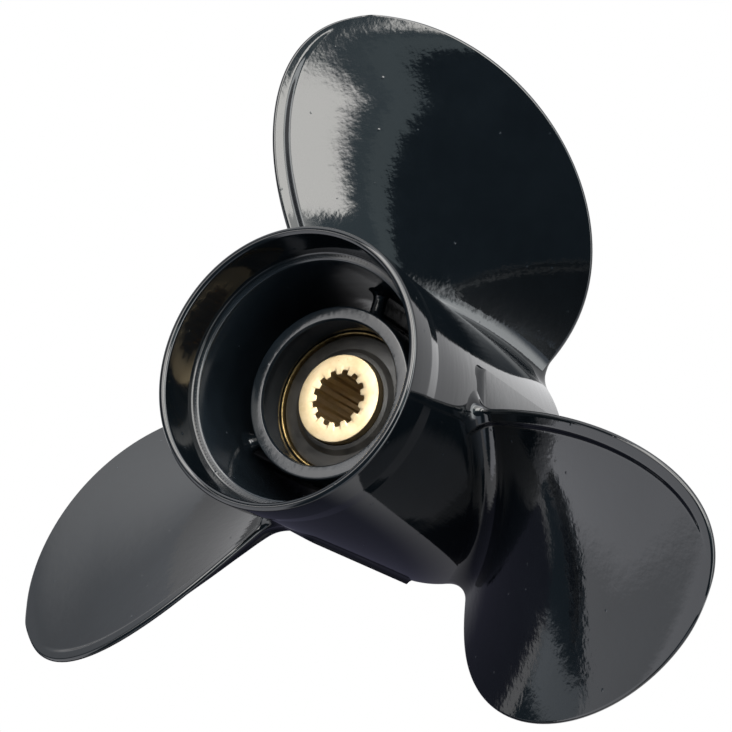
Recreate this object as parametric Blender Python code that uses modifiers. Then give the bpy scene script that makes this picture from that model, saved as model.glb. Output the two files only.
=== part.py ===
"""Three-blade boat propeller with the exhaust led through its hub.

Metres, +Z up. Z runs along the shaft and points aft, the way the nut goes on, and the
hub's forward end stands on z = 0. Azimuth zero, along X, is the first blade's tip. The
propeller drives ahead turning clockwise seen from aft.
"""
import math

import bmesh
import bpy
import numpy as np
from mathutils import Matrix

# Driving dimensions, in millimetres and degrees
MM = 0.001
GAP = 0.3                   # kept between pieces that touch
STEPS = 72                  # sides of a turned piece

# Blades: the aft face is a screw surface, and its outline is an angle for each radius
BLADES = 3
TIP_R = 168.3
ROOT_R = 43.5               # where the outline would end, inside the hub
RADIUS_UNIT = 49.43         # the changes with radius below are for this much of it
PITCH = 445.0
PITCH_FALL = 22.4
FACE_Z = 58.2               # height of the face at the root radius, azimuth zero
RAKE = 25.5                 # aft lean, and how it eases off outward
RAKE_FALL = 4.3
HOLLOW = 3.1                # hollow of the face along its width, and how it grows outward
HOLLOW_GROWTH = 5.6
# angle of the blade's edge, from the leading root (-1) over the tip (0) to the trailing (1)
EDGE_STATIONS = ((-1.0, -47.8), (-0.75, -47.2), (-0.5, -31.4), (-0.25, -14.5), (0.0, -1.0),
                 (0.25, 7.9), (0.5, 14.1), (0.75, 19.1), (1.0, 21.6))
ROOT_THICK = 13.5
TIP_THICK = 4.2
EDGE_R = 1.3                # rounding of the blade's edge
NARROW = 60.0               # a chord shorter than this is thinner in proportion
CUP_HIGH = 2.0              # curl of the trailing edge
CUP_WIDE = 10.0
CUP_FADE = (0.18, 0.53)     # places on the outline where the curl starts and is full
FILLET = 9.0                # round between blade and barrel
FILLET_ANGLES = (15, 30, 50, 70, 90)
SINK = 0.35                 # how far the fillet's foot is sunk in the barrel
FLOOR_CLEAR = 0.35          # the blades' roots stop this short of the hub's forward end
ACROSS = 17                 # points along each face of a blade's section
ROUND_ANGLES = (45, 90, 135)
BLADE_ROWS = 15

# Barrel, as radius and height: its outside from the forward end up to the flared rim
HUB_LONG = 143.0
BARREL_SIDE = ((53.4, 0.8), (53.6, 60.0), (54.0, 100.0), (54.4, 122.0))
WALL_R = 50.8               # middle of the barrel's wall
FLARE_Z = 130.0             # the rim is flared as far as here, and straight aft of it
RIM_R = 55.3
RIM_BORE_R = 52.1
RECESS_R = 50.5             # foot of the recess inside the rim
STEP_R = 47.3               # the bore narrows at a step there
STEP_Z = 126.4
FRONT_BORE_R = 46.4

INNER_R = 34.9              # inner hub
INNER_BORE_R = 29.2
INNER_TOP = 108.4
INNER_FOOT = 12.0

RIBS = 3                    # between the inner hub and the barrel
RIB_WIDE = 6.2
RIB_TOP = 92.5
RIB_FOOT = 14.0
RIB_AT = -15.0
RIB_BITE = 2.5              # how far a rib reaches into the walls it joins

PADS = 3                    # flat-topped pads on the barrel
PAD_AT = -87.6
PAD_WIDE = 18.0
PAD_FLAT_R = 54.9
PAD_Z = (1.0, 88.0)
PAD_CORNER = 3.0

SHELL_R = 28.9              # bushing: shell, rubber and splined sleeve
SHELL_BORE_R = 28.1
BUSH_TOP = 94.5
BUSH_FOOT = 20.0
SLEEVE_R = 17.8
SLEEVE_TOP = 99.8
SLEEVE_FOOT = 14.0
SPLINES = 13
SPLINE_AT = 14.6
SPLINE_ROOT_R = 11.4
SPLINE_TIP_R = 9.7
SLOT_FOOT = 0.40            # width of a slot at its foot and mouth, as a share of the pitch
SLOT_MOUTH = 0.58

# turns a piece drawn flat so that it is pushed out along X, with its own Y upright
UPRIGHT = Matrix(((0, 0, 1, 0), (1, 0, 0, 0), (0, 1, 0, 0), (0, 0, 0, 1)))


def collection(name):
    made = bpy.data.collections.new(name)
    bpy.context.scene.collection.children.link(made)
    return made


def material(name, colour, roughness, metallic):
    made = bpy.data.materials.new(name)
    made.use_nodes = True
    shader = made.node_tree.nodes["Principled BSDF"]
    shader.inputs["Base Color"].default_value = (*colour, 1.0)
    shader.inputs["Roughness"].default_value = roughness
    shader.inputs["Metallic"].default_value = metallic
    made.diffuse_color = (*colour, 1.0)
    return made


def finish(obj, look, sharp):
    """Give a piece its material and shade its round faces smooth."""
    obj.data.materials.clear()
    obj.data.materials.append(look)
    obj.data.shade_smooth()
    obj.data.set_sharp_from_angle(angle=math.radians(sharp))


def weld(mesh):
    body = bmesh.new()
    body.from_mesh(mesh)
    bmesh.ops.remove_doubles(body, verts=body.verts[:], dist=0.01 * MM)
    bmesh.ops.dissolve_degenerate(body, edges=body.edges[:], dist=0.005 * MM)
    bmesh.ops.recalc_face_normals(body, faces=body.faces[:])
    body.to_mesh(mesh)
    body.free()


def as_mesh(obj):
    """Turn an object's modifiers into its mesh."""
    deps = bpy.context.evaluated_depsgraph_get()
    mesh = bpy.data.meshes.new_from_object(obj.evaluated_get(deps))
    obj.modifiers.clear()
    obj.data = mesh
    weld(mesh)


def turned(name, profile, home):
    """A piece turned about Z from a closed outline of (radius, height) points."""
    mesh = bpy.data.meshes.new(name)
    count = len(profile)
    mesh.from_pydata([(r * MM, 0.0, z * MM) for r, z in profile],
                     [(i, (i + 1) % count) for i in range(count)], [])
    obj = bpy.data.objects.new(name, mesh)
    home.objects.link(obj)
    turn = obj.modifiers.new("Turn", "SCREW")
    turn.axis = "Z"
    turn.angle = math.tau
    turn.steps = STEPS
    turn.render_steps = STEPS
    turn.use_merge_vertices = True
    turn.merge_threshold = 0.01 * MM
    as_mesh(obj)
    return obj


def extruded(name, outlines, low, high, home):
    """A piece with a flat outline, pushed out along its own Z between two heights."""
    curve = bpy.data.curves.new(name, "CURVE")
    curve.dimensions = "2D"
    curve.fill_mode = "BOTH"
    curve.extrude = (high - low) / 2 * MM
    for outline in outlines:
        line = curve.splines.new("POLY")
        line.points.add(len(outline) - 1)
        for point, (x, y) in zip(line.points, outline):
            point.co = (x * MM, y * MM, 0.0, 1.0)
        line.use_cyclic_u = True
    drawn = bpy.data.objects.new(name + "_outline", curve)
    home.objects.link(drawn)
    deps = bpy.context.evaluated_depsgraph_get()
    mesh = bpy.data.meshes.new_from_object(drawn.evaluated_get(deps))
    bpy.data.objects.remove(drawn, do_unlink=True)
    mesh.transform(Matrix.Translation((0.0, 0.0, (low + high) / 2 * MM)))
    weld(mesh)
    obj = bpy.data.objects.new(name, mesh)
    home.objects.link(obj)
    return obj


def arc(radius, start, end, count, centre=(0.0, 0.0)):
    """Points of an arc in a plane, angles in degrees."""
    angles = np.radians(np.linspace(start, end, count))
    return [(centre[0] + radius * math.cos(a), centre[1] + radius * math.sin(a)) for a in angles]


def all_round(name, mesh, count, start, placed, home):
    """Copies of a mesh at equal angles round the shaft."""
    made = []
    for k in range(count):
        obj = bpy.data.objects.new("%s_%d" % (name, k + 1), mesh)
        home.objects.link(obj)
        obj.matrix_world = Matrix.Rotation(math.radians(start + 360.0 * k / count), 4, "Z") @ placed
        made.append(obj)
    return made


def boolean(obj, others, how):
    for other in others:
        step = obj.modifiers.new(other.name, "BOOLEAN")
        step.operation = how
        step.solver = "EXACT"
        step.object = other
        as_mesh(obj)


def smooth_curve(stations):
    """The natural cubic curve through a few (place, value) stations, as a function."""
    place, value = np.array(stations).T
    gap = np.diff(place)
    count = len(place)
    lhs = np.eye(count)
    rhs = np.zeros(count)
    for i in range(1, count - 1):
        lhs[i, i - 1:i + 2] = gap[i - 1], 2 * (gap[i - 1] + gap[i]), gap[i]
        rhs[i] = 6 * ((value[i + 1] - value[i]) / gap[i] - (value[i] - value[i - 1]) / gap[i - 1])
    bend = np.linalg.solve(lhs, rhs)

    def value_at(x):
        i = int(np.clip(np.searchsorted(place, x) - 1, 0, count - 2))
        before, after, wide = x - place[i], place[i + 1] - x, gap[i]
        curved = (bend[i] * after ** 3 + bend[i + 1] * before ** 3) / (6 * wide)
        left = (value[i] / wide - bend[i] * wide / 6) * after
        right = (value[i + 1] / wide - bend[i + 1] * wide / 6) * before
        return curved + left + right

    return value_at


edge_angle = smooth_curve(EDGE_STATIONS)


def face_height(r, turn):
    """Height of a blade's aft face at a radius and an angle in radians."""
    out = (r - ROOT_R) / RADIUS_UNIT
    middle = FACE_Z + RAKE * out - RAKE_FALL * out ** 2
    screw = (PITCH - PITCH_FALL * out) * turn / math.tau
    return middle + screw - (HOLLOW + HOLLOW_GROWTH * out) * turn ** 2


def half_round(start, end, bulge):
    """Points of the half round from one point to another, its middle pushed out by bulge."""
    angle = np.radians(ROUND_ANGLES)[:, None]
    return (start + end) / 2 + (start - end) / 2 * np.cos(angle) + bulge * np.sin(angle)


def section(r):
    """A blade's section on the cylinder of radius r, unrolled flat.

    A closed loop of (way round, height) points: along the aft face from the trailing to the
    leading edge, round that edge, back along the forward face, and round the trailing edge.
    """
    place = math.sqrt((TIP_R - r) / (TIP_R - ROOT_R))
    trail, lead = math.radians(edge_angle(place)), math.radians(edge_angle(-place))
    edge = EDGE_R * math.sqrt(1 - max(0.0, 1 - (TIP_R - r) / EDGE_R) ** 2)
    reach = min(edge, r * (trail - lead) / 4)
    even = np.linspace(0, 1, ACROSS)
    share = even / 2 + (1 - np.cos(np.pi * even)) / 4
    turn = (trail - reach / r) * (1 - share) + (lead + reach / r) * share
    face = np.stack([r * turn, face_height(r, turn)], 1)

    along = np.gradient(face, axis=0)
    along /= np.linalg.norm(along, axis=1, keepdims=True)
    forward = np.stack([-along[:, 1], along[:, 0]], 1)
    steps = np.linalg.norm(np.diff(face, axis=0), axis=1)
    run = np.concatenate([[0.0], np.cumsum(steps)])
    chord = run[-1]

    fade = np.clip((place - CUP_FADE[0]) / (CUP_FADE[1] - CUP_FADE[0]), 0, 1)
    curl = np.clip(1 - run / CUP_WIDE, 0, 1) ** 2
    sink = CUP_HIGH * fade ** 2 * (3 - 2 * fade) * (1 - curl) * (1 - (run / chord) ** 2)
    inward = (TIP_R - r) / (TIP_R - BARREL_SIDE[0][0])
    middle = TIP_THICK + (ROOT_THICK - TIP_THICK) * inward ** 1.15
    bulge = (middle - 2 * EDGE_R) * min(1.0, chord / NARROW)
    thick = 2 * edge + bulge * np.sin(np.pi * share) ** 0.8

    face = face + forward * sink[:, None]
    back = face + forward * thick[:, None]
    lead_round = half_round(face[-1], back[-1], along[-1] * reach)
    trail_round = half_round(back[0], face[0], -along[0] * reach)
    return np.concatenate([face, lead_round, back[::-1], trail_round])


def flared(loop, r):
    """Grow a section close to the barrel into the fillet at the blade's root."""
    heights, radii = [z for _, z in BARREL_SIDE], [side for side, _ in BARREL_SIDE]
    above = r - np.interp(loop[:, 1], heights, radii) + SINK
    lacking = FILLET - np.clip(above, 0, FILLET)
    side = np.roll(loop, -1, 0) - np.roll(loop, 1, 0)
    outward = np.stack([side[:, 1], -side[:, 0]], 1) / np.linalg.norm(side, axis=1)[:, None]
    return loop + outward * (FILLET - np.sqrt(FILLET ** 2 - lacking ** 2))[:, None]


def wrapped(loop, r):
    """Roll a flat section back onto its cylinder, in metres."""
    turn = loop[:, 0] / r
    return np.stack([r * np.cos(turn), r * np.sin(turn), loop[:, 1]], 1) * MM


def blade_radii():
    """Radii of a blade's sections: in the wall, up the fillet, along the blade, round the tip."""
    foot = [WALL_R, BARREL_SIDE[0][0] - SINK]
    fillet = [BARREL_SIDE[-1][0] - SINK + FILLET * (1 - math.cos(math.radians(a)))
              for a in FILLET_ANGLES]
    blade_long = TIP_R - fillet[-1]
    last = math.sqrt(EDGE_R / blade_long)
    free = [TIP_R - blade_long * share ** 2 for share in np.linspace(1, last, BLADE_ROWS)[1:]]
    tip = [TIP_R - EDGE_R * (1 - math.cos(math.radians(a))) for a in (50, 20)]
    return foot + fillet + free + tip


def close_ring(body, ring):
    """Fill a section's ring from its aft face straight across to its forward face."""
    half = ACROSS + len(ROUND_ANGLES)
    face, back = ring[:ACROSS], ring[half:half + ACROSS][::-1]
    for i in range(ACROSS - 1):
        body.faces.new((face[i], face[i + 1], back[i + 1], back[i]))
    body.faces.new([face[-1], *ring[ACROSS:half], back[-1]])
    body.faces.new([back[0], *ring[half + ACROSS:], face[0]])


def blade(home):
    """One blade as a loft through its sections, cut off level with the hub's forward end."""
    mesh = bpy.data.meshes.new("blade")
    body = bmesh.new()
    rings = []
    for r in blade_radii():
        rings.append([body.verts.new(point) for point in wrapped(flared(section(r), r), r)])
    count = len(rings[0])
    for low, high in zip(rings, rings[1:]):
        for i in range(count):
            j = (i + 1) % count
            body.faces.new((low[i], low[j], high[j], high[i]))
    close_ring(body, rings[0])
    close_ring(body, rings[-1])
    bmesh.ops.recalc_face_normals(body, faces=body.faces[:])
    body.to_mesh(mesh)
    body.free()
    obj = bpy.data.objects.new("blade", mesh)
    home.objects.link(obj)
    span = 2 * TIP_R
    square = [(-span, -span), (span, -span), (span, span), (-span, span)]
    below = extruded("floor_cut", [square], -HUB_LONG, FLOOR_CLEAR, home)
    boolean(obj, [below], "DIFFERENCE")
    return obj


def rib_outline():
    """A rib's section, its aft edge rounded."""
    half = RIB_WIDE / 2
    return [(-half, RIB_FOOT), (half, RIB_FOOT), *arc(half, 0, 180, 9, (0.0, RIB_TOP - half))]


def pad_outline():
    """A pad's outline, with its two aft corners rounded."""
    half = PAD_WIDE / 2
    low, high = PAD_Z
    side, top = half - PAD_CORNER, high - PAD_CORNER
    return [(-half, low), (half, low), *arc(PAD_CORNER, 0, 90, 5, (side, top)),
            *arc(PAD_CORNER, 90, 180, 5, (-side, top))]


def casting(home, cutters):
    """The cast body: barrel, pads, blades, ribs and inner hub in one piece of metal."""
    outside = [(r, z) for r, z in reversed(BARREL_SIDE)]
    body = turned("propeller_casting", [
        (54.1, HUB_LONG), (RIM_R - 0.4, HUB_LONG - 0.5), (RIM_R, HUB_LONG - 1.6),
        (RIM_R, FLARE_Z), *outside, (52.6, 0.0),
        (FRONT_BORE_R + 0.8, 0.0), (FRONT_BORE_R, 0.8), (STEP_R, STEP_Z - 1.5),
        (STEP_R + 0.6, STEP_Z), (RECESS_R - 0.7, STEP_Z), (RECESS_R, STEP_Z + 0.8),
        (RIM_BORE_R, HUB_LONG - 1.6), (RIM_BORE_R + 0.4, HUB_LONG - 0.5), (53.3, HUB_LONG)], home)
    hub = turned("inner_hub", [
        (INNER_R - 0.5, INNER_TOP), (INNER_R, INNER_TOP - 0.6), (INNER_R, INNER_FOOT),
        (INNER_BORE_R, INNER_FOOT), (INNER_BORE_R, INNER_TOP - 8.0),
        (INNER_BORE_R + 0.8, INNER_TOP)], cutters)
    first_pad = extruded("pad", [pad_outline()], WALL_R, PAD_FLAT_R, cutters)
    first_rib = extruded("rib", [rib_outline()], INNER_R - RIB_BITE, FRONT_BORE_R + RIB_BITE,
                         cutters)
    first_blade = blade(cutters)
    boolean(body, all_round("pad", first_pad.data, PADS, PAD_AT, UPRIGHT, cutters), "UNION")
    boolean(body, all_round("blade", first_blade.data, BLADES, 0.0, Matrix(), cutters), "UNION")
    boolean(body, all_round("rib", first_rib.data, RIBS, RIB_AT, UPRIGHT, cutters), "UNION")
    boolean(body, [hub], "UNION")
    return body


def bushing_shell(home):
    return turned("bushing_shell", [(SHELL_R, BUSH_TOP), (SHELL_R, BUSH_FOOT),
                                    (SHELL_BORE_R, BUSH_FOOT), (SHELL_BORE_R, BUSH_TOP)], home)


def rubber_bushing(home):
    """The rubber, with a low rib moulded round the sleeve on its aft face."""
    outer, inner = SHELL_BORE_R - GAP, SLEEVE_R + GAP
    return turned("rubber_bushing", [
        (outer, BUSH_TOP - 1.6), (outer, BUSH_FOOT + 0.8), (inner + 3.0, BUSH_FOOT + 0.8),
        (inner, BUSH_FOOT - 0.6), (inner, BUSH_TOP + 2.4), (inner + 1.8, BUSH_TOP + 1.6),
        (inner + 3.6, BUSH_TOP - 0.2), (inner + 6.4, BUSH_TOP - 0.9)], home)


def splined_sleeve(home):
    """The sleeve, with its slots drawn as one outline round the bore."""
    pitch = 360.0 / SPLINES
    bore = []
    for k in range(SPLINES):
        middle = SPLINE_AT + k * pitch
        mouth, foot = SLOT_MOUTH * pitch / 2, SLOT_FOOT * pitch / 2
        bore += arc(SPLINE_TIP_R, middle - pitch + mouth, middle - mouth, 3)
        bore += arc(SPLINE_ROOT_R, middle - foot, middle + foot, 3)
    round_outside = arc(SLEEVE_R, 0, 360 - 360 / STEPS, STEPS)
    return extruded("splined_sleeve", [round_outside, bore], SLEEVE_FOOT, SLEEVE_TOP, home)


def main():
    for old in list(bpy.data.objects):
        bpy.data.objects.remove(old, do_unlink=True)
    parts = collection("ship_propeller")
    cutters = collection("cutters")

    paint = material("gloss_black_paint", (0.012, 0.013, 0.015), 0.16, 0.0)
    brass = material("brass", (0.72, 0.55, 0.27), 0.3, 1.0)
    gold = material("brass_shell", (0.66, 0.5, 0.24), 0.35, 1.0)
    rubber = material("black_rubber", (0.03, 0.03, 0.03), 0.55, 0.0)

    finish(casting(parts, cutters), paint, sharp=32)
    finish(bushing_shell(parts), gold, sharp=30)
    finish(rubber_bushing(parts), rubber, sharp=30)
    finish(splined_sleeve(parts), brass, sharp=25)

    for obj in cutters.objects:
        obj.hide_render = True
        obj.display_type = "WIRE"


main()
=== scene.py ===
"""Looks of the boat propeller: a gloss black casting, its rubber bushing and its splined sleeve.

Lengths are millimetres until a mesh is made. Azimuths are degrees round the shaft, with the
first blade's tip at zero, and heights run aft from the hub's forward end.
"""

import math

import bmesh
import bpy
import numpy as np
from mathutils import Matrix, Vector


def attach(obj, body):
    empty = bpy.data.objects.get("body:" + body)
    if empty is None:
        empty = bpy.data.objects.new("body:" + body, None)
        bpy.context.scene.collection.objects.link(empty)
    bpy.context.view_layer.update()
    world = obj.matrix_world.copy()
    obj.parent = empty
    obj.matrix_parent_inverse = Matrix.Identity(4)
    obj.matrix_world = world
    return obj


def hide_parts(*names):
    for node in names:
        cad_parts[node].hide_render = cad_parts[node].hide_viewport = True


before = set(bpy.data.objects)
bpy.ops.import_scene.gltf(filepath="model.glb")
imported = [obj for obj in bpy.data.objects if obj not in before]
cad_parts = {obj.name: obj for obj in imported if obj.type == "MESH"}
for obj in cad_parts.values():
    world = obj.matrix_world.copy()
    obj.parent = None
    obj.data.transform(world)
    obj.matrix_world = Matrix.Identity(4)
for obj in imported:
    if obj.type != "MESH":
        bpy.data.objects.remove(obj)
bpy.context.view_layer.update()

MM = 0.001
ROUND_STEPS = 288           # sides of a turned piece

# Barrel: a slightly waisted tube with a flared rim and a step inside it
HUB_LONG = 143.0
FRONT_R = 53.4
CREASE_R = 54.4
CREASE_Z = 122.5
SIDE_POWER = 2.27           # how the barrel's radius grows from its forward end to the crease
FLARE_Z = 130.0
RIM_R = 55.3
RIM_BORE_R = 52.1
LIP_ROUNDING = 1.5
STEP_R = 47.3
STEP_Z = 126.4
RECESS_R = 50.5
FRONT_BORE_R = 46.4
WALL_R = 50.8

# Fine ridges that the casting's core leaves round the step
MARKS = 204
MARK_REACH = (48.6, 49.6)
MARK_WIDE = 0.7
MARK_HIGH = 0.06
OVERSPRAY_AND_PAINTED_LIGHT_R = 50.0          # inside this radius the paint is thin, dusty and duller, and its colour is raised as painted light for the bore's reflections

INNER_R = 34.9
INNER_BORE_R = 29.2
INNER_TOP = 108.4
INNER_FOOT = 12.0

RIBS = 3
RIB_AT = -15.0
RIB_WIDE = 6.2
RIB_TOP = 92.5
RIB_FOOT = 14.0
RIB_FILLET = 4.0

PADS = 3
PAD_AT = -87.6
PAD_WIDE = 18.0
PAD_FLAT_R = 54.9
PAD_Z = (1.0, 84.0)
PAD_CORNER = 2.6
PAD_SLOPE = 6.0             # length of the slope that ends it aft
PAD_FOOT = 1.2              # spread of the fillet along its sides
PAD_ROUNDING = 0.4

# Blades: an aft face that is a screw surface, in an outline whose angle follows a curve
BLADES = 3
BLADE_SIZES = {
    "Tip radius": 168.3,
    "Root radius": 43.5,
    "Radius unit": 49.43,
    "Pitch": 445.0,
    "Pitch fall": 22.4,
    "Face height": 58.2,
    "Rake": 25.5,
    "Rake fall": 4.3,
    "Hollow": 3.1,
    "Hollow growth": 5.6,
    "Root thickness": 13.5,
    "Tip thickness": 4.2,
    "Edge rounding": 1.3,
    "Narrow chord": 60.0,
    "Cup height": 2.0,
    "Cup lip": 3.2,
    "Cup slope": 3.0,
    "Cup start": 0.18,
    "Cup full": 0.53,
    "Fillet": 9.0,
    "Fillet sink": 0.05,
    "Barrel front": FRONT_R,
    "Barrel crease": CREASE_R,
    "Crease height": CREASE_Z,
    "Barrel power": SIDE_POWER,
    "Wall radius": WALL_R,
}
# angle of the blade's edge, from the leading root (-1) over the tip (0) to the trailing (1)
EDGE_STATIONS = ((-1.0, -47.8), (-0.75, -47.2), (-0.5, -31.4), (-0.25, -14.5), (0.0, -1.0),
                 (0.25, 7.9), (0.5, 14.1), (0.75, 19.1), (1.0, 21.6))
BLADE_COUNTS = {"Points round": 240, "Sections": 84, "Fillet sections": 16}
FACE_SHARE = 0.45           # share of a section's points on each face; its edges have the rest
FLOOR_CLEAR = 0.35

SHELL_R = 28.9
SHELL_BORE_R = 28.1
BUSH_TOP = 94.5
BUSH_FOOT = 20.0
GAP = 0.3
SLEEVE_R = 17.8
SLEEVE_TOP = 99.8
SLEEVE_FOOT = 14.0
SLEEVE_EDGE = 0.35
SPLINES = 13
SPLINE_AT = 14.6
SPLINE_ROOT_R = 11.4
SPLINE_TIP_R = 9.7
SLOT_FOOT = 0.40            # width of a slot at its foot and mouth, as a share of the pitch
SLOT_MOUTH = 0.58

# Camera at the photograph's viewing angle
IMAGE_WIDE = 732
SENSOR = 36.0
CAMERA_AT = (-217.2, -351.8, 718.2)
CAMERA_AIM = (0.9, 17.0, 100.0)
CAMERA_UP = (0.9554, -0.0983, 0.2785)
FOCAL_PIXELS = 1913.8
LENS_CENTRE = (300.0, 400.0)

# Planes through the propeller that bound the lights overhead
SOFTBOX_SIDE = (0.956, -0.295, -0.245)
SOFTBOX_END = (0.0, -1.0, -0.265)
CARD_EDGE = (-0.5, -0.866, 0.718)


# Numbers that flow through a node tree

class Field:
    """A number that varies over a mesh or a surface; arithmetic on it adds Math nodes."""

    def __init__(self, tree, socket):
        self.tree = tree
        self.socket = socket

    def math(self, how, *others):
        made = self.tree.nodes.new("ShaderNodeMath")
        made.operation = how
        for socket, value in zip(made.inputs, (self, *others)):
            feed(self.tree, socket, value)
        return Field(self.tree, made.outputs[0])

    def __add__(self, other):
        return self.math("ADD", other)

    def __sub__(self, other):
        return self.math("SUBTRACT", other)

    def __rsub__(self, other):
        return self.math("MULTIPLY", -1.0) + other

    def __mul__(self, other):
        return self.math("MULTIPLY", other)

    def __truediv__(self, other):
        return self.math("DIVIDE", other)

    def __pow__(self, power):
        return self.math("POWER", power)

    def __neg__(self):
        return self.math("MULTIPLY", -1.0)

    __radd__ = __add__
    __rmul__ = __mul__

    def root(self):
        return self.math("SQRT")

    def sine(self):
        return self.math("SINE")

    def cosine(self):
        return self.math("COSINE")

    def least(self, other):
        return self.math("MINIMUM", other)

    def most(self, other):
        return self.math("MAXIMUM", other)

    def held(self):
        """Held between 0 and 1."""
        return self.least(1.0).most(0.0)

    def eased(self):
        """Held between 0 and 1, leaving and arriving gently."""
        x = self.held()
        return x * x * (3.0 - 2.0 * x)


def feed(tree, socket, value):
    """Put a number, a field or another socket into a socket."""
    if isinstance(value, Field):
        tree.links.new(value.socket, socket)
    elif isinstance(value, bpy.types.NodeSocket):
        tree.links.new(value, socket)
    else:
        socket.default_value = value


def node(tree, kind, inputs=(), **settings):
    """A node with its settings, and its inputs fed by name or by place."""
    made = tree.nodes.new(kind)
    for key, value in settings.items():
        setattr(made, key, value)
    for name, value in dict(inputs).items():
        feed(tree, made.inputs[name], value)
    return made


def power_sum(x, factors):
    """Sum of each factor times its power of x, lowest power first."""
    total = x * factors[-1]
    for factor in reversed(factors[1:-1]):
        total = (total + factor) * x
    return total + factors[0]


# Geometry trees

def geometry_tree(name, sizes):
    """A geometry tree with a named input for each size, and a field for each of them."""
    tree = bpy.data.node_groups.new(name, "GeometryNodeTree")
    tree.interface.new_socket("Geometry", in_out="INPUT", socket_type="NodeSocketGeometry")
    tree.interface.new_socket("Geometry", in_out="OUTPUT", socket_type="NodeSocketGeometry")
    for label, value in sizes.items():
        kind = {int: "NodeSocketInt", float: "NodeSocketFloat"}[type(value)]
        socket = tree.interface.new_socket(label, in_out="INPUT", socket_type=kind)
        socket.default_value = value
    tree.interface.new_socket("Finish", in_out="INPUT", socket_type="NodeSocketMaterial")
    entry = tree.nodes.new("NodeGroupInput")
    return tree, entry, {label: Field(tree, entry.outputs[label]) for label in sizes}


def close_tree(tree, entry, geometry):
    """End a geometry tree in Realize Instances and Set Material."""
    real = node(tree, "GeometryNodeRealizeInstances", {"Geometry": geometry})
    dressed = node(tree, "GeometryNodeSetMaterial", {
        "Geometry": real.outputs["Geometry"], "Material": entry.outputs["Finish"]})
    out = tree.nodes.new("NodeGroupOutput")
    feed(tree, out.inputs["Geometry"], dressed.outputs["Geometry"])


def grown(obj, tree, finish, sizes=()):
    """Run a geometry tree on an object and keep the result as its plain mesh."""
    step = obj.modifiers.new(tree.name, "NODES")
    step.node_group = tree
    values = dict(sizes, Finish=finish)
    for item in tree.interface.items_tree:
        if item.in_out == "INPUT" and item.name in values:
            step[item.identifier] = values[item.name]
    settle(obj)
    return obj


def place_points(tree, geometry, x, y, z):
    """Move every point of a geometry to a place in millimetres."""
    place = node(tree, "ShaderNodeCombineXYZ", {0: x * MM, 1: y * MM, 2: z * MM})
    moved = node(tree, "GeometryNodeSetPosition", {
        "Geometry": geometry, "Position": place.outputs[0]})
    return moved.outputs[0]


def round_shaft_tree():
    """Copies of the incoming mesh at equal angles round the shaft."""
    tree, entry, size = geometry_tree("round_the_shaft", {"Count": 3, "Start": 0.0})
    points = node(tree, "GeometryNodePoints", {"Count": size["Count"]})
    index = Field(tree, node(tree, "GeometryNodeInputIndex").outputs[0])
    turn = size["Start"].math("RADIANS") + index * math.tau / size["Count"]
    spin = node(tree, "ShaderNodeCombineXYZ", {"Z": turn})
    copies = node(tree, "GeometryNodeInstanceOnPoints", {
        "Points": points.outputs[0], "Instance": entry.outputs["Geometry"],
        "Rotation": spin.outputs[0]})
    close_tree(tree, entry, copies.outputs[0])
    return tree


def barrel_radius(size, height):
    """The barrel's outside radius at a height."""
    share = (height.most(0.0) / size["Crease height"]) ** size["Barrel power"]
    return size["Barrel front"] + (size["Barrel crease"] - size["Barrel front"]) * share


def aft_face(size, radius, turn):
    """Height of a blade's aft face at a radius and an angle, and its slope round the shaft."""
    unit = (radius - size["Root radius"]) / size["Radius unit"]
    pitch = (size["Pitch"] - size["Pitch fall"] * unit) / math.tau
    hollow = size["Hollow"] + size["Hollow growth"] * unit
    middle = size["Face height"] + (size["Rake"] - size["Rake fall"] * unit) * unit
    height = middle + (pitch - hollow * turn) * turn
    return height, (pitch - 2.0 * hollow * turn) / radius


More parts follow.
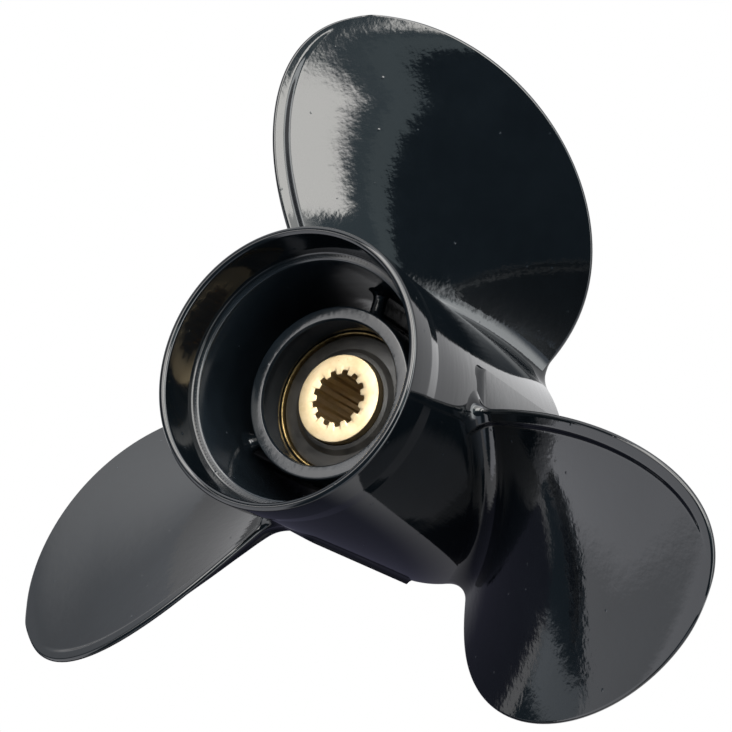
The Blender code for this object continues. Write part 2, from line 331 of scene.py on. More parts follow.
def blade_tree():
    """One blade, drawn as sections on cylinders round the shaft, from inside the wall to the tip.

    Each section is a loop: along the aft face from the trailing to the leading edge, round
    that edge, back along the forward face, and round the trailing edge.
    """
    tree, entry, size = geometry_tree("blade", {**BLADE_SIZES, **BLADE_COUNTS})
    tube = node(tree, "GeometryNodeMeshCylinder", {
        "Vertices": size["Points round"], "Side Segments": size["Sections"] - 1.0},
        fill_type="NONE")
    index = Field(tree, node(tree, "GeometryNodeInputIndex").outputs[0])
    row = (index / size["Points round"]).math("FLOOR")
    loop = (index - row * size["Points round"]) / size["Points round"]
    present = row.least(1.0)

    # share of the way to the leading edge, and angle turned round the edges
    edge_share = 0.5 - FACE_SHARE
    share = (loop / FACE_SHARE).held() - ((loop - 0.5) / FACE_SHARE).held()
    share = share - (share * math.tau).sine() * (0.75 / math.tau)
    turned_by = ((loop - FACE_SHARE) / edge_share).held()
    turned_by = (turned_by + ((loop - 0.5 - FACE_SHARE) / edge_share).held()) * math.pi
    ahead, aftward = turned_by.sine(), turned_by.cosine()

    # radius of the barrel under the fillet's foot
    places, angles = np.array(EDGE_STATIONS).T
    root_turn = math.radians(angles[-1]) * (1.0 - share) + math.radians(angles[0]) * share
    foot_height, foot_slope = aft_face(size, size["Barrel front"], root_turn)
    foot_reach = size["Fillet"] * aftward - size["Root thickness"] / 2.0 * (1.0 - aftward)
    foot_height = foot_height + foot_reach / (1.0 + foot_slope * foot_slope).root()
    base = barrel_radius(size, foot_height) - size["Fillet sink"]

    # radius of the section: inside the wall, up the fillet, then out to the tip
    climb = ((row - 1.0) / size["Fillet sections"]).held() * (math.pi / 2)
    free_sections = size["Sections"] - size["Fillet sections"] - 2.0
    left = 1.0 - ((row - 1.0 - size["Fillet sections"]) / free_sections).held()
    fillet_top = base + size["Fillet"] * (1.0 - climb.cosine())
    radius = fillet_top + (size["Tip radius"] - base - size["Fillet"]) * (1.0 - left * left)
    radius = size["Wall radius"] + (radius - size["Wall radius"]) * present

    # the section's ends, and how far its rounded edges reach
    sweep = np.radians(np.polyfit(places, angles, 5)[::-1])
    rate = sweep[1:] * np.arange(1, len(sweep))
    outline_long = size["Tip radius"] - size["Root radius"]
    inward = (size["Tip radius"] - radius).most(0.0)
    place = (inward / outline_long).root().most(0.0005)
    lean = radius / (2.0 * outline_long * place)
    short = 1.0 - (inward / size["Edge rounding"]).least(1.0)
    edge = size["Edge rounding"] * (1.0 - short * short).most(0.0).root()
    trail, lead = power_sum(place, sweep), power_sum(-place, sweep)
    half_chord = radius * (trail - lead) / 2.0
    reach, inset = [], []
    for end, angle in ((place, trail), (-place, lead)):
        slant = power_sum(end, rate) * lean
        slope = aft_face(size, radius, angle)[1]
        stretch = (1.0 + slope * slope).root()
        along = size["Edge rounding"] * (1.0 + slant * slant).root()
        reach.append(along.least(half_chord * stretch))
        inset.append(reach[-1] / stretch / radius)
    trail, lead = trail - inset[0], lead + inset[1]
    turn = trail + (lead - trail) * share

    # the aft face there, and the section's forward and leading directions when unrolled
    face, slope = aft_face(size, radius, turn)
    stretch = (1.0 + slope * slope).root()
    level, steep = stretch ** -1.0, slope / stretch

    # thickness, and the curl of the trailing edge
    chord = (radius * (trail - lead) * stretch).most(0.01)
    run = (trail - turn) * radius * stretch
    thin = (inward / (size["Tip radius"] - size["Barrel front"])) ** 1.15
    thickest = size["Tip thickness"] + (size["Root thickness"] - size["Tip thickness"]) * thin
    bulge = (thickest - 2.0 * size["Edge rounding"]) * (chord / size["Narrow chord"]).least(1.0)
    thick = 2.0 * edge + bulge * ((share * math.pi).sine().most(0.0) ** 0.8)
    fade = ((place - size["Cup start"]) / (size["Cup full"] - size["Cup start"])).eased()
    drop = ((run - size["Cup lip"]) / size["Cup slope"]).eased()
    gone = (run / chord).held()
    sink = size["Cup height"] * fade * drop * (1.0 - gone * gone)

    # the fillet grows the section outward near the barrel
    lacking = (size["Fillet"] - (radius - base)).most(0.0).least(size["Fillet"])
    flare = size["Fillet"] - (size["Fillet"] ** 2.0 - lacking * lacking).most(0.0).root()
    reach_here = reach[0] + (reach[1] - reach[0]) * share
    off_forward = (sink + thick / 2.0 - (thick / 2.0 + flare) * aftward) * present
    off_ahead = (reach_here + flare) * ahead * present
    angle = turn + (off_forward * steep - off_ahead * level) / radius
    height = face - off_forward * level - off_ahead * steep
    solid = place_points(tree, tube.outputs["Mesh"], radius * angle.cosine(),
                         radius * angle.sine(), height)
    merged = node(tree, "GeometryNodeMergeByDistance", {"Geometry": solid, "Distance": 0.02 * MM})
    close_tree(tree, entry, merged.outputs[0])
    return tree


# Mesh makers

def new_object(name, mesh=None):
    obj = bpy.data.objects.new(name, mesh or bpy.data.meshes.new(name))
    bpy.context.scene.collection.objects.link(obj)
    return obj


def settle(obj):
    """Turn an object's modifiers into its mesh."""
    deps = bpy.context.evaluated_depsgraph_get()
    mesh = bpy.data.meshes.new_from_object(obj.evaluated_get(deps))
    obj.modifiers.clear()
    obj.data = mesh


def weld(mesh, distance=0.005):
    """Merge a mesh's doubles and turn its faces outward."""
    body = bmesh.new()
    body.from_mesh(mesh)
    bmesh.ops.remove_doubles(body, verts=body.verts[:], dist=distance * MM)
    bmesh.ops.dissolve_degenerate(body, edges=body.edges[:], dist=distance / 2 * MM)
    bmesh.ops.recalc_face_normals(body, faces=body.faces[:])
    body.to_mesh(mesh)
    body.free()


def rounded(corners, steps=6):
    """A closed outline through corners (x, y, rounding)."""
    points = []
    for i, (x, y, rounding) in enumerate(corners):
        corner = Vector((x, y))
        back = (Vector(corners[i - 1][:2]) - corner).normalized()
        on = (Vector(corners[(i + 1) % len(corners)][:2]) - corner).normalized()
        half = back.angle(on) / 2
        if not rounding or half > math.radians(89):
            points.append((x, y))
            continue
        centre = corner + (back + on).normalized() * rounding / math.sin(half)
        first = back * rounding / math.tan(half) + corner - centre
        bend = (math.pi - 2 * half) * math.copysign(1, back.cross(on))
        for k in range(steps + 1):
            ray = first.copy()
            ray.rotate(Matrix.Rotation(-bend * k / steps, 2))
            points.append(tuple(centre + ray))
    return points


def turned(name, profile, steps=ROUND_STEPS):
    """A piece turned round the shaft from a closed outline of (radius, height) points."""
    obj = new_object(name)
    count = len(profile)
    obj.data.from_pydata([(r * MM, 0.0, z * MM) for r, z in profile],
                         [(i, (i + 1) % count) for i in range(count)], [])
    turn = obj.modifiers.new("Turn", "SCREW")
    turn.axis = "Z"
    turn.angle = math.tau
    turn.steps = steps
    turn.render_steps = steps
    turn.use_merge_vertices = True
    turn.merge_threshold = 0.005 * MM
    settle(obj)
    weld(obj.data)
    return obj


def lofted(name, rings, pierced=False):
    """A closed piece through rings of points in millimetres.

    Its two ends are filled flat, or in a pierced piece the last ring joins the first.
    """
    obj = new_object(name)
    body = bmesh.new()
    loops = [[body.verts.new([c * MM for c in point]) for point in ring] for ring in rings]
    count = len(loops[0])
    if pierced:
        loops.append(loops[0])
    else:
        body.faces.new(loops[0])
        body.faces.new(loops[-1])
    for low, high in zip(loops, loops[1:]):
        for i in range(count):
            j = (i + 1) % count
            body.faces.new((low[i], low[j], high[j], high[i]))
    bmesh.ops.recalc_face_normals(body, faces=body.faces[:])
    body.to_mesh(obj.data)
    body.free()
    return obj


def concave(rise, radius):
    """How far a concave fillet still stands out at a height over its foot."""
    lacking = min(max(radius - rise, 0.0), radius)
    return radius - math.sqrt(radius ** 2 - lacking ** 2)


def finished(obj, finish, stands_for, sharp=35.0):
    """Give a piece its finish and smooth shading, hang it on the root body, and hide the model part it
    stands for.
    """
    obj.data.materials.clear()
    obj.data.materials.append(finish)
    obj.data.shade_smooth()
    obj.data.set_sharp_from_angle(angle=math.radians(sharp))
    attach(obj, "root")
    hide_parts(stands_for)
    return obj


# Pieces of the casting

def barrel_side(height):
    """The barrel's outside radius forward of the crease."""
    return FRONT_R + (CREASE_R - FRONT_R) * (max(height, 0.0) / CREASE_Z) ** SIDE_POWER


def barrel():
    side = [(barrel_side(z), z, 0.0) for z in np.linspace(CREASE_Z - 3.0, 1.2, 36)]
    return turned("barrel", rounded([
        *side, (FRONT_R, 0.0, 0.8), (FRONT_BORE_R, 0.0, 0.8), (STEP_R, STEP_Z, 0.9),
        (RECESS_R, STEP_Z, 0.8), (RIM_BORE_R, HUB_LONG, LIP_ROUNDING),
        (RIM_R, HUB_LONG, LIP_ROUNDING), (RIM_R, FLARE_Z, 12.0), (CREASE_R, CREASE_Z, 4.0)]))


def step_marks(finish):
    """Fine ridges across the step inside the rim, sunk in it at their foot."""
    inner, outer = MARK_REACH
    rings = []
    for r, full in ((inner - 0.1, 0.2), (inner + 0.1, 1.0), (outer - 0.1, 1.0), (outer + 0.1, 0.2)):
        half = MARK_WIDE / 2 * (0.4 + 0.6 * full)
        crest = STEP_Z + MARK_HIGH * full
        rings.append([(r, -half, STEP_Z - 0.1), (r, -half / 2, crest), (r, half / 2, crest),
                      (r, half, STEP_Z - 0.1)])
    return grown(lofted("step_marks", rings), round_shaft_tree(), finish, {"Count": MARKS})


def blades(finish):
    obj = grown(new_object("blades"), blade_tree(), finish, {**BLADE_SIZES, **BLADE_COUNTS})
    body = bmesh.new()
    body.from_mesh(obj.data)
    bmesh.ops.remove_doubles(body, verts=body.verts[:], dist=0.01 * MM)
    whole = body.verts[:] + body.edges[:] + body.faces[:]
    bmesh.ops.bisect_plane(body, geom=whole, plane_co=(0.0, 0.0, FLOOR_CLEAR * MM),
                           plane_no=(0.0, 0.0, 1.0), clear_inner=True)
    bmesh.ops.holes_fill(body, edges=[edge for edge in body.edges if edge.is_boundary])
    bmesh.ops.recalc_face_normals(body, faces=body.faces[:])
    body.to_mesh(obj.data)
    body.free()
    return grown(obj, round_shaft_tree(), finish, {"Count": BLADES, "Start": 0.0})


def pad_ring(height, beside, past):
    """A pad's outline at a share of its height, grown beside its sides and past its aft end."""
    half = PAD_WIDE / 2 + beside
    low, high = PAD_Z[0], PAD_Z[1] + past
    corner = PAD_CORNER + max(past, 0.0) / 2
    ring = []
    for y, z in rounded([(-half, low, 0.0), (half, low, 0.0), (half, high, corner),
                         (-half, high, corner)], 10):
        foot = math.sqrt((barrel_side(z) - 0.05) ** 2 - y * y)
        ring.append((foot + (PAD_FLAT_R - foot) * height, y, z))
    return ring


def pads(finish):
    """Flat-topped pads with small fillets along their sides and a gentle slope at the aft end."""
    rings = [pad_ring(-2.0, PAD_FOOT, PAD_SLOPE)]
    for down in np.linspace(1.0, 0.0, 13):
        height = (1 + math.cos(math.pi * down)) / 2
        beside = PAD_FOOT * (1 - height) ** 3 - PAD_ROUNDING * height ** 6
        rings.append(pad_ring(height, beside, PAD_SLOPE * down - PAD_ROUNDING * height ** 6))
    return grown(lofted("pads", rings), round_shaft_tree(), finish,
                 {"Count": PADS, "Start": PAD_AT})


def ribs(finish):
    """Ribs between the inner hub and the barrel, filleted into both."""
    first, last = INNER_R - 2.0, FRONT_BORE_R + 3.0
    rings = []
    for x in (first, *np.linspace(INNER_R - 0.05, INNER_R + RIB_FILLET, 9),
              *np.linspace(STEP_R - 0.3 - RIB_FILLET, STEP_R - 0.35, 9), last):
        grow = max(concave(x - INNER_R + 0.05, RIB_FILLET), concave(STEP_R - 0.3 - x, RIB_FILLET))
        if x in (first, last):
            grow = 1.0
        half = RIB_WIDE / 2 + grow
        top = RIB_TOP - RIB_WIDE / 2
        outline = [(half, RIB_FOOT - 0.7 * grow)]
        outline += [(half * math.cos(a), top + half * math.sin(a))
                    for a in np.linspace(0, math.pi, 17)]
        outline += [(-half, RIB_FOOT - 0.7 * grow)]
        rings.append([(x, y, z) for y, z in outline])
    obj = lofted("ribs", rings)
    return grown(obj, round_shaft_tree(), finish, {"Count": RIBS, "Start": RIB_AT})


def inner_hub():
    return turned("inner_hub", rounded([
        (INNER_R, INNER_FOOT, 1.0), (INNER_R, INNER_TOP, 0.9), (INNER_BORE_R + 0.7, INNER_TOP, 0.25),
        (INNER_BORE_R, INNER_TOP - 1.0, 0.3), (INNER_BORE_R, INNER_FOOT, 0.6)]))


# Bushing

def bushing_shell():
    return turned("shell_ring", rounded([
        (SHELL_R, BUSH_FOOT, 0.2), (SHELL_R, BUSH_TOP, 0.25), (SHELL_BORE_R, BUSH_TOP, 0.25),
        (SHELL_BORE_R, BUSH_FOOT, 0.2)], 3))


def rubber_cushion():
    outer, inner = SHELL_BORE_R - GAP, SLEEVE_R + GAP
    return turned("rubber_cushion", rounded([
        (outer, BUSH_FOOT + 0.8, 0.5), (outer, BUSH_TOP - 1.6, 0.8),
        (inner + 6.4, BUSH_TOP - 0.9, 1.0), (inner + 3.6, BUSH_TOP - 0.2, 1.0),
        (inner + 1.8, BUSH_TOP + 1.6, 0.8), (inner, BUSH_TOP + 2.4, 0.4),
        (inner, BUSH_FOOT - 0.6, 0.4), (inner + 3.0, BUSH_FOOT + 0.8, 0.8)]))


def slot_outline():
    """The sleeve's bore, as one outline round its 13 slots with rounded corners."""
    corners = []
    pitch = 360.0 / SPLINES
    for k in range(SPLINES):
        middle = SPLINE_AT + k * pitch
        mouth, foot = SLOT_MOUTH * pitch / 2, SLOT_FOOT * pitch / 2
        for radius, at, corner in (
                (SPLINE_TIP_R, middle - pitch / 2, 0.0), (SPLINE_TIP_R, middle - mouth, 0.25),
                (SPLINE_ROOT_R, middle - foot, 0.4), (SPLINE_ROOT_R + 0.05, middle, 0.0),
                (SPLINE_ROOT_R, middle + foot, 0.4), (SPLINE_TIP_R, middle + mouth, 0.25)):
            angle = math.radians(at)
            corners.append((radius * math.cos(angle), radius * math.sin(angle), corner))
    return rounded(corners, 3)


def splined_sleeve():
    """The sleeve as one loop of rings: down the bore, across its foot, up outside, over its top."""
    outline = slot_outline()
    half_way = (SLEEVE_TOP + SLEEVE_FOOT) / 2

    def bore(grow, z):
        return [(x * (1 + grow / SPLINE_ROOT_R), y * (1 + grow / SPLINE_ROOT_R), z)
                for x, y in outline]

    def outside(radius, z):
        angles = [math.atan2(y, x) for x, y in outline]
        return [(radius * math.cos(a), radius * math.sin(a), z) for a in angles]

    rings = []
    for face, inward in ((SLEEVE_TOP, -1), (SLEEVE_FOOT, 1)):
        edge = [bore(SLEEVE_EDGE * (1 - math.sin(a)), face + inward * SLEEVE_EDGE * (1 - math.cos(a)))
                for a in np.linspace(0, math.pi / 2, 4)]
        flat = [outside(r, face) for r in (13.5, SLEEVE_R - SLEEVE_EDGE)]
        corner = [outside(SLEEVE_R - SLEEVE_EDGE * (1 - math.sin(a)),
                          face + inward * SLEEVE_EDGE * (1 - math.cos(a)))
                  for a in np.linspace(0, math.pi / 2, 4)[1:]]
        side = edge[::-1] + flat + corner
        rings += side if inward < 0 else side[::-1]
    rings.insert(len(rings) // 2, outside(SLEEVE_R, half_way))
    return lofted("sleeve_with_slots", rings, pierced=True)


# Effects that several finishes share

def effect_tree(name, sizes, results):
    """A shader group's tree with its place, a field for each named size, and named results."""
    tree = bpy.data.node_groups.new(name, "ShaderNodeTree")
    tree.interface.new_socket("Place", in_out="INPUT", socket_type="NodeSocketVector")
    for label, value in sizes.items():
        socket = tree.interface.new_socket(label, in_out="INPUT", socket_type="NodeSocketFloat")
        socket.default_value = value
    for label in results:
        tree.interface.new_socket(label, in_out="OUTPUT", socket_type="NodeSocketFloat")
    entry = tree.nodes.new("NodeGroupInput")
    return tree, entry.outputs["Place"], {label: Field(tree, entry.outputs[label]) for label in sizes}


def close_effect(tree, **results):
    out = tree.nodes.new("NodeGroupOutput")
    for label, value in results.items():
        feed(tree, out.inputs[label], value)
    return tree


def noise(tree, place, spacing, detail=2.0):
    """Noise around zero, mostly within a half, with bumps about spacing millimetres apart."""
    made = node(tree, "ShaderNodeTexNoise", {"Vector": place, "Scale": (spacing * MM) ** -1.0,
                                             "Detail": detail})
    return Field(tree, made.outputs[0]) - 0.5


def ripple_effect():
    """Sprayed paint or moulded skin: wide ripples with finer pebbling on them."""
    tree, place, size = effect_tree("ripple", {"Wave": 4.0, "Pebble": 1.3, "Fine share": 0.25},
                                    ["Height"])
    height = noise(tree, place, size["Wave"]) + noise(tree, place, size["Pebble"]) * size["Fine share"]
    return close_effect(tree, Height=height)


def nib_effect():
    """Nibs of dust caught in a finish: small specks, in a few of many cells."""
    tree, place, size = effect_tree("nibs", {"Spacing": 6.0, "Speck": 0.5, "Chosen": 0.3}, ["Mask"])
    cells = node(tree, "ShaderNodeTexVoronoi", {
        "Vector": place, "Scale": (size["Spacing"] * MM) ** -1.0})
    chance = node(tree, "ShaderNodeSeparateColor", {"Color": cells.outputs["Color"]}).outputs[0]
    chosen = Field(tree, chance).math("LESS_THAN", size["Chosen"])
    away = Field(tree, cells.outputs["Distance"]) * size["Spacing"] / size["Speck"]
    return close_effect(tree, Mask=(1.0 - away).held() * chosen)


def blotch_effect():
    """Handling marks and uneven drying: wide soft patches, broken up by finer ones."""
    tree, place, size = effect_tree("blotches", {"Patch": 30.0, "Fine": 5.0}, ["Mask"])
    wide = noise(tree, place, size["Patch"], 3.0)
    fine = noise(tree, place, size["Fine"], 4.0)
    return close_effect(tree, Mask=(wide * 2.0 + fine * 0.8 + 0.5).eased())


def turning_effect():
    """Tool marks of turned metal: rings round the shaft, uneven in depth."""
    tree, place, size = effect_tree("turning", {"Feed": 0.35}, ["Height"])
    x, y, z = parts_of(tree, place)
    reach = (x * x + y * y).root() + z
    grooves = (reach * (math.tau / MM) / size["Feed"]).sine()
    rings = node(tree, "ShaderNodeCombineXYZ", {0: reach}).outputs[0]
    return close_effect(tree, Height=grooves * (noise(tree, rings, 1.1) + 0.6))


def placed(tree, name, place, result, **sizes):
    """One use of a shared effect, with its own values."""
    made = node(tree, "ShaderNodeGroup", node_tree=bpy.data.node_groups[name])
    feed(tree, made.inputs["Place"], place)
    for label, value in sizes.items():
        feed(tree, made.inputs[label.replace("_", " ")], value)
    return Field(tree, made.outputs[result])


# Finishes

def new_finish(name, metallic=0.0):
    """A material, its tree, its shader and the place on the object."""
    made = bpy.data.materials.new(name)
    made.use_nodes = True
    tree = made.node_tree
    shader = tree.nodes["Principled BSDF"]
    shader.inputs["Metallic"].default_value = metallic
    return made, tree, shader, node(tree, "ShaderNodeTexCoord").outputs["Object"]


def shade(tree, shader, light, dark, share, roughness, height):
    """Feed a shader: a colour between two by a share, a roughness, and a relief in millimetres."""
    mixed = node(tree, "ShaderNodeMix", {0: share.held(), 6: (*light, 1.0), 7: (*dark, 1.0)},
                 data_type="RGBA")
    feed(tree, shader.inputs["Base Color"], mixed.outputs[2])
    feed(tree, shader.inputs["Roughness"], roughness)
    bump = node(tree, "ShaderNodeBump", {"Height": height, "Distance": MM, "Strength": 1.0})
    feed(tree, shader.inputs["Normal"], bump.outputs[0])


def gloss_paint(name, stretch=(1.0, 1.0, 1.0), ripple=0.05, relief=0.0):
    """Gloss black spray paint: orange peel, dust nibs and blotches over the casting's relief."""
    made, tree, shader, place = new_finish(name)
    lie = node(tree, "ShaderNodeMapping", {"Vector": place, "Scale": stretch}).outputs[0]
    height = placed(tree, "ripple", lie, "Height", Wave=4.5, Pebble=1.6, Fine_share=0.35) * ripple
    if relief:
        height = height + placed(tree, "ripple", place, "Height", Wave=14.0, Pebble=5.0,
                                 Fine_share=0.5) * relief
    nibs = placed(tree, "nibs", place, "Mask", Spacing=7.0, Speck=0.7, Chosen=0.35)
    blotch = placed(tree, "blotches", place, "Mask", Patch=38.0, Fine=7.0)
    height = height + nibs * 0.09
    x, y, z = parts_of(tree, place)
    # Inside the bore the paint is rougher, as thin dusty overspray, and its colour is raised: painted
    # light standing in for light reflected in the bore
    inside = ((OVERSPRAY_AND_PAINTED_LIGHT_R * MM - (x * x + y * y).root()) / MM).held()
    shade(tree, shader, (0.0012, 0.0018, 0.0024), (0.024, 0.034, 0.044),
          blotch * 0.03 + nibs * 0.25 + inside * (0.10 + blotch * 0.12),
          0.05 + blotch * 0.035 + nibs * 0.3 + inside * 0.06, height)
    return made


def turned_brass():
    """Pale machined brass with fine turning marks, a little duller where it was handled."""
    made, tree, shader, place = new_finish("brass", 1.0)
    marks = placed(tree, "turning", place, "Height", Feed=0.4)
    blotch = placed(tree, "blotches", place, "Mask", Patch=9.0, Fine=1.5)
    nibs = placed(tree, "nibs", place, "Mask", Spacing=2.5, Speck=0.35, Chosen=0.3)
    shade(tree, shader, (0.58, 0.47, 0.30), (0.44, 0.33, 0.18), blotch * 0.6 + nibs,
          0.40 + blotch * 0.12 + nibs * 0.2, marks * 0.004 - nibs * 0.02)
    return made


def dull_brass():
    """The shell's plain edge: darker rolled brass, stained by the bonding."""
    made, tree, shader, place = new_finish("brass_shell", 1.0)
    stain = placed(tree, "blotches", place, "Mask", Patch=12.0, Fine=2.0)
    marks = placed(tree, "turning", place, "Height", Feed=0.25)
    shade(tree, shader, (0.34, 0.24, 0.10), (0.03, 0.022, 0.014), stain, 0.34 + stain * 0.3,
          marks * 0.004)
    return made


def moulded_rubber():
    """Dark rubber with a moulded half-gloss skin, dusty in patches."""
    made, tree, shader, place = new_finish("black_rubber")
    skin = placed(tree, "ripple", place, "Height", Wave=2.6, Pebble=0.5, Fine_share=0.2)
    dust = placed(tree, "blotches", place, "Mask", Patch=10.0, Fine=1.6)
    nibs = placed(tree, "nibs", place, "Mask", Spacing=2.2, Speck=0.4, Chosen=0.35)
    shade(tree, shader, (0.008, 0.0075, 0.007), (0.030, 0.027, 0.023), dust * 0.6 + nibs,
          0.36 + dust * 0.2 + nibs * 0.2, skin * 0.02 + nibs * 0.03)
    return made


# Camera, floor and studio light

def camera():
    data = bpy.data.cameras.new("camera")
    data.sensor_width = SENSOR
    data.lens = FOCAL_PIXELS * SENSOR / IMAGE_WIDE
    data.shift_x = (IMAGE_WIDE / 2 - LENS_CENTRE[0]) / IMAGE_WIDE
    data.shift_y = (LENS_CENTRE[1] - IMAGE_WIDE / 2) / IMAGE_WIDE
    data.clip_end = 20.0
    obj = new_object("camera", data)
    at = Vector(CAMERA_AT)
    ahead = (Vector(CAMERA_AIM) - at).normalized()
    right = ahead.cross(Vector(CAMERA_UP)).normalized()
    turn = Matrix((right, right.cross(ahead), -ahead)).transposed()
    obj.matrix_world = Matrix.Translation(at * MM) @ turn.to_4x4()
    bpy.context.scene.camera = obj


def parts_of(tree, vector):
    """A vector's three numbers as fields."""
    split = node(tree, "ShaderNodeSeparateXYZ", {0: vector})
    return [Field(tree, socket) for socket in split.outputs]


def side(direction, normal, low, high):
    """1 on the side a normal points to, 0 on the other, with a soft edge between two values."""
    x, y, z = direction
    nx, ny, nz = normal
    return ((x * nx + y * ny + z * nz - low) / (high - low)).eased()


def upright(azimuth):
    """Normal of an upright edge at an azimuth, pointing to the greater azimuths."""
    turn = math.radians(azimuth)
    return (-math.sin(turn), math.cos(turn), 0.0)


def through(first, second):
    """Normal of the edge that runs from one (azimuth, elevation) to another, light on its right."""
    ends = []
    for azimuth, elevation in (first, second):
        turn, lift = math.radians(azimuth), math.radians(elevation)
        ends.append(Vector((math.cos(lift) * math.cos(turn), math.cos(lift) * math.sin(turn),
                            math.sin(lift))))
    return tuple(ends[0].cross(ends[1]).normalized())


def blended(tree, lights, base):
    """Sum of (mask, colour) lights over a base colour, as a colour socket."""
    channels = []
    for i in range(3):
        total = lights[0][0] * lights[0][1][i] + base[i]
        for mask, colour in lights[1:]:
            total = total + mask * colour[i]
        channels.append(total)
    return node(tree, "ShaderNodeCombineColor", dict(enumerate(channels))).outputs[0]


def shown_white(tree, colour, shader_kind, white):
    """The colour for the lights' own rays and reflections, and white where the camera looks."""
    path = node(tree, "ShaderNodeLightPath")
    mixed = node(tree, "ShaderNodeMix", {0: path.outputs["Is Camera Ray"], 6: colour,
                                         7: (white, white, white, 1.0)}, data_type="RGBA")
    return node(tree, shader_kind, {"Color": mixed.outputs[2]})


def studio_world():
    """Soft studio light: one big warm softbox, a dim panel beside it, and pale walls."""
    world = bpy.data.worlds.new("studio")
    world.use_nodes = True
    tree = world.node_tree
    tree.nodes.clear()
    d = parts_of(tree, node(tree, "ShaderNodeTexCoord").outputs["Generated"])
    up, near, far = (0.0, 0.0, 1.0), (0.0, -1.0, 0.0), (0.0, 1.0, 0.0)

    softbox = side(d, (1.0, 0.0, 0.0), -0.10, 0.01) * side(d, SOFTBOX_SIDE, -0.05, 0.03)
    softbox = softbox * side(d, SOFTBOX_END, -0.03, 0.02)
    full = side(d, (0.0, 0.085, 1.0), 0.61, 0.64)
    skirt = side(d, up, 0.2, 0.33) * side(d, (1.0, 0.0, 0.0), 0.1, 0.25)
    card = side(d, CARD_EDGE, -0.004, 0.004) * side(d, (1.0, 0.0, 0.0), 0.05, 0.16)
    card = card * side(d, far, -0.15, 0.0)
    card_near = card * side(d, far, 0.45, 0.1)
    panel = side(d, through((-98, 71), (-109, 35)), -0.016, -0.004)
    panel = panel * side(d, near, 0.05, 0.2) * side(d, up, 0.3, 0.45)
    streak = panel * side(d, through((-98, 71), (-109, 35)), 0.10, 0.06)
    horizon = side(d, near, -0.1, 0.1) * side(d, up, 0.43, 0.34) * side(d, up, -0.1, 0.05)
    glow = horizon * side(d, (-0.1, -1.0, 0.0), 0.5, 0.95)

    right = side(d, upright(84.0), 0.0, 0.05) * side(d, far, 0.3, 0.45)
    right = right * side(d, through((88, 14), (107, 6)), -0.006, 0.006) * side(d, up, 0.95, 0.8)
    bright = right * side(d, upright(97.0), 0.0, 0.08)
    gap = side(d, upright(84.0), 0.0, 0.03) * side(d, upright(89.5), 0.01, -0.01)
    gap = gap * side(d, up, -0.03, 0.02) * (1.0 - right)
    left = side(d, upright(68.0), 0.1, -0.1) * side(d, (0.93, 0.36, 0.0), 0.1, 0.4)
    left = left * side(d, up, 0.72, 0.6) * side(d, near, 0.5, 0.1)
    lamp = left * side(d, (0.91, 0.08, 0.41), 0.79, 0.99)
    lights = [
        (softbox * full, (10.6, 10.3, 9.8)),
        (softbox * skirt * (1.0 - full), (4.3, 4.2, 4.0)),
        (card, (3.9, 3.8, 3.75)),
        (card_near, (6.0, 5.9, 5.6)),
        (panel, (0.50, 0.64, 0.70)),
        (streak, (0.30, 0.33, 0.31)),
        (horizon, (0.9, 1.0, 1.15)),
        (glow, (4.8, 4.9, 4.8)),
        (right, (1.2, 1.2, 1.25)),
        (bright, (0.7, 0.7, 0.75)),
        (gap, (0.7, 0.75, 0.8)),
        (left, (0.75, 0.75, 0.78)),
        (lamp, (1.2, 1.2, 1.2)),
    ]
    colour = blended(tree, lights, (0.07, 0.10, 0.13))
    shade = shown_white(tree, colour, "ShaderNodeBackground", 1.0)
    out = tree.nodes.new("ShaderNodeOutputWorld")
    feed(tree, out.inputs["Surface"], shade.outputs[0])
    bpy.context.scene.world = world


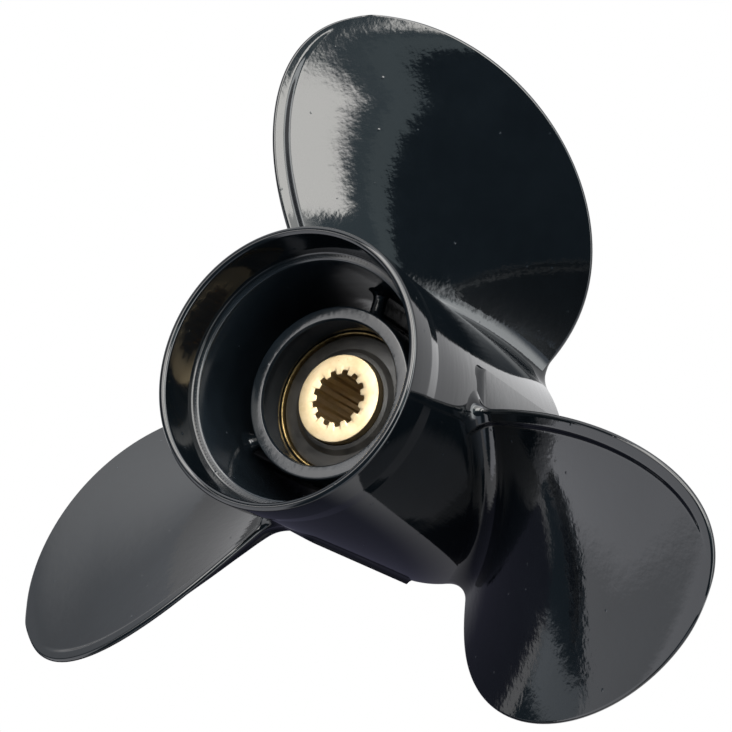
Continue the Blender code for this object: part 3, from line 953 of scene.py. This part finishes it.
def floor():
    """A pale floor, plain white where the camera looks. In reflections it shows a painted pool of
    light beside the softbox and a painted shadow behind the hub.
    """
    mesh = bpy.data.meshes.new("floor")
    half = 6.0
    mesh.from_pydata([(-half, -half, 0.0), (half, -half, 0.0), (half, half, 0.0),
                      (-half, half, 0.0)], [], [(0, 1, 2, 3)])
    obj = new_object("floor", mesh)
    made = bpy.data.materials.new("pale_floor")
    made.use_nodes = True
    tree = made.node_tree
    tree.nodes.clear()
    place = node(tree, "ShaderNodeTexCoord").outputs["Object"]
    p = parts_of(tree, place)
    # Painted shadow of the propeller, dark behind the hub, hidden from the camera and seen in
    # reflections
    painted_shadow = side(p, (-1.0, 0.0, 0.0), 0.0, 0.04) * side(p, (0.0, 1.0, 0.0), -0.07, 0.02)
    painted_shadow = painted_shadow * side(p, (-1.0, 0.0, 0.0), 0.5, 0.3)
    x, y, z = p
    # Painted pool of light beside the softbox, hidden from the camera and seen in reflections
    painted_light_pool = side(p, (1.0, 0.0, 0.0), -0.03, 0.03) * side(p, (0.0, -1.0, 0.0), 0.0, 0.06)
    painted_light_pool = painted_light_pool * ((0.115 - (x * x + y * y).root()) / 0.03).eased()
    colour = blended(tree, [(painted_shadow, (-0.87, -0.87, -0.86)), (painted_light_pool, (0.8, 0.8, 0.8))],
                     (0.93, 0.93, 0.95))
    shade = shown_white(tree, colour, "ShaderNodeEmission", 1.0)
    out = tree.nodes.new("ShaderNodeOutputMaterial")
    feed(tree, out.inputs["Surface"], shade.outputs[0])
    mesh.materials.append(made)


def main():
    for effect in (ripple_effect, nib_effect, blotch_effect, turning_effect):
        effect()
    paint = gloss_paint("gloss_black_paint")
    hub_paint = gloss_paint("gloss_black_on_barrel", (0.2, 0.2, 1.0), 0.03)
    rib_paint = gloss_paint("gloss_black_on_ribs", (1.0, 1.0, 1.0), 0.05, 0.25)
    for obj, finish in ((barrel(), hub_paint), (step_marks(hub_paint), hub_paint),
                        (blades(paint), paint), (pads(paint), paint),
                        (ribs(rib_paint), rib_paint), (inner_hub(), paint)):
        finished(obj, finish, "propeller_casting")
    finished(bushing_shell(), dull_brass(), "bushing_shell")
    finished(rubber_cushion(), moulded_rubber(), "rubber_bushing")
    finished(splined_sleeve(), turned_brass(), "splined_sleeve")

    camera()
    floor()
    studio_world()
    bpy.context.scene.view_settings.view_transform = "Standard"


main()
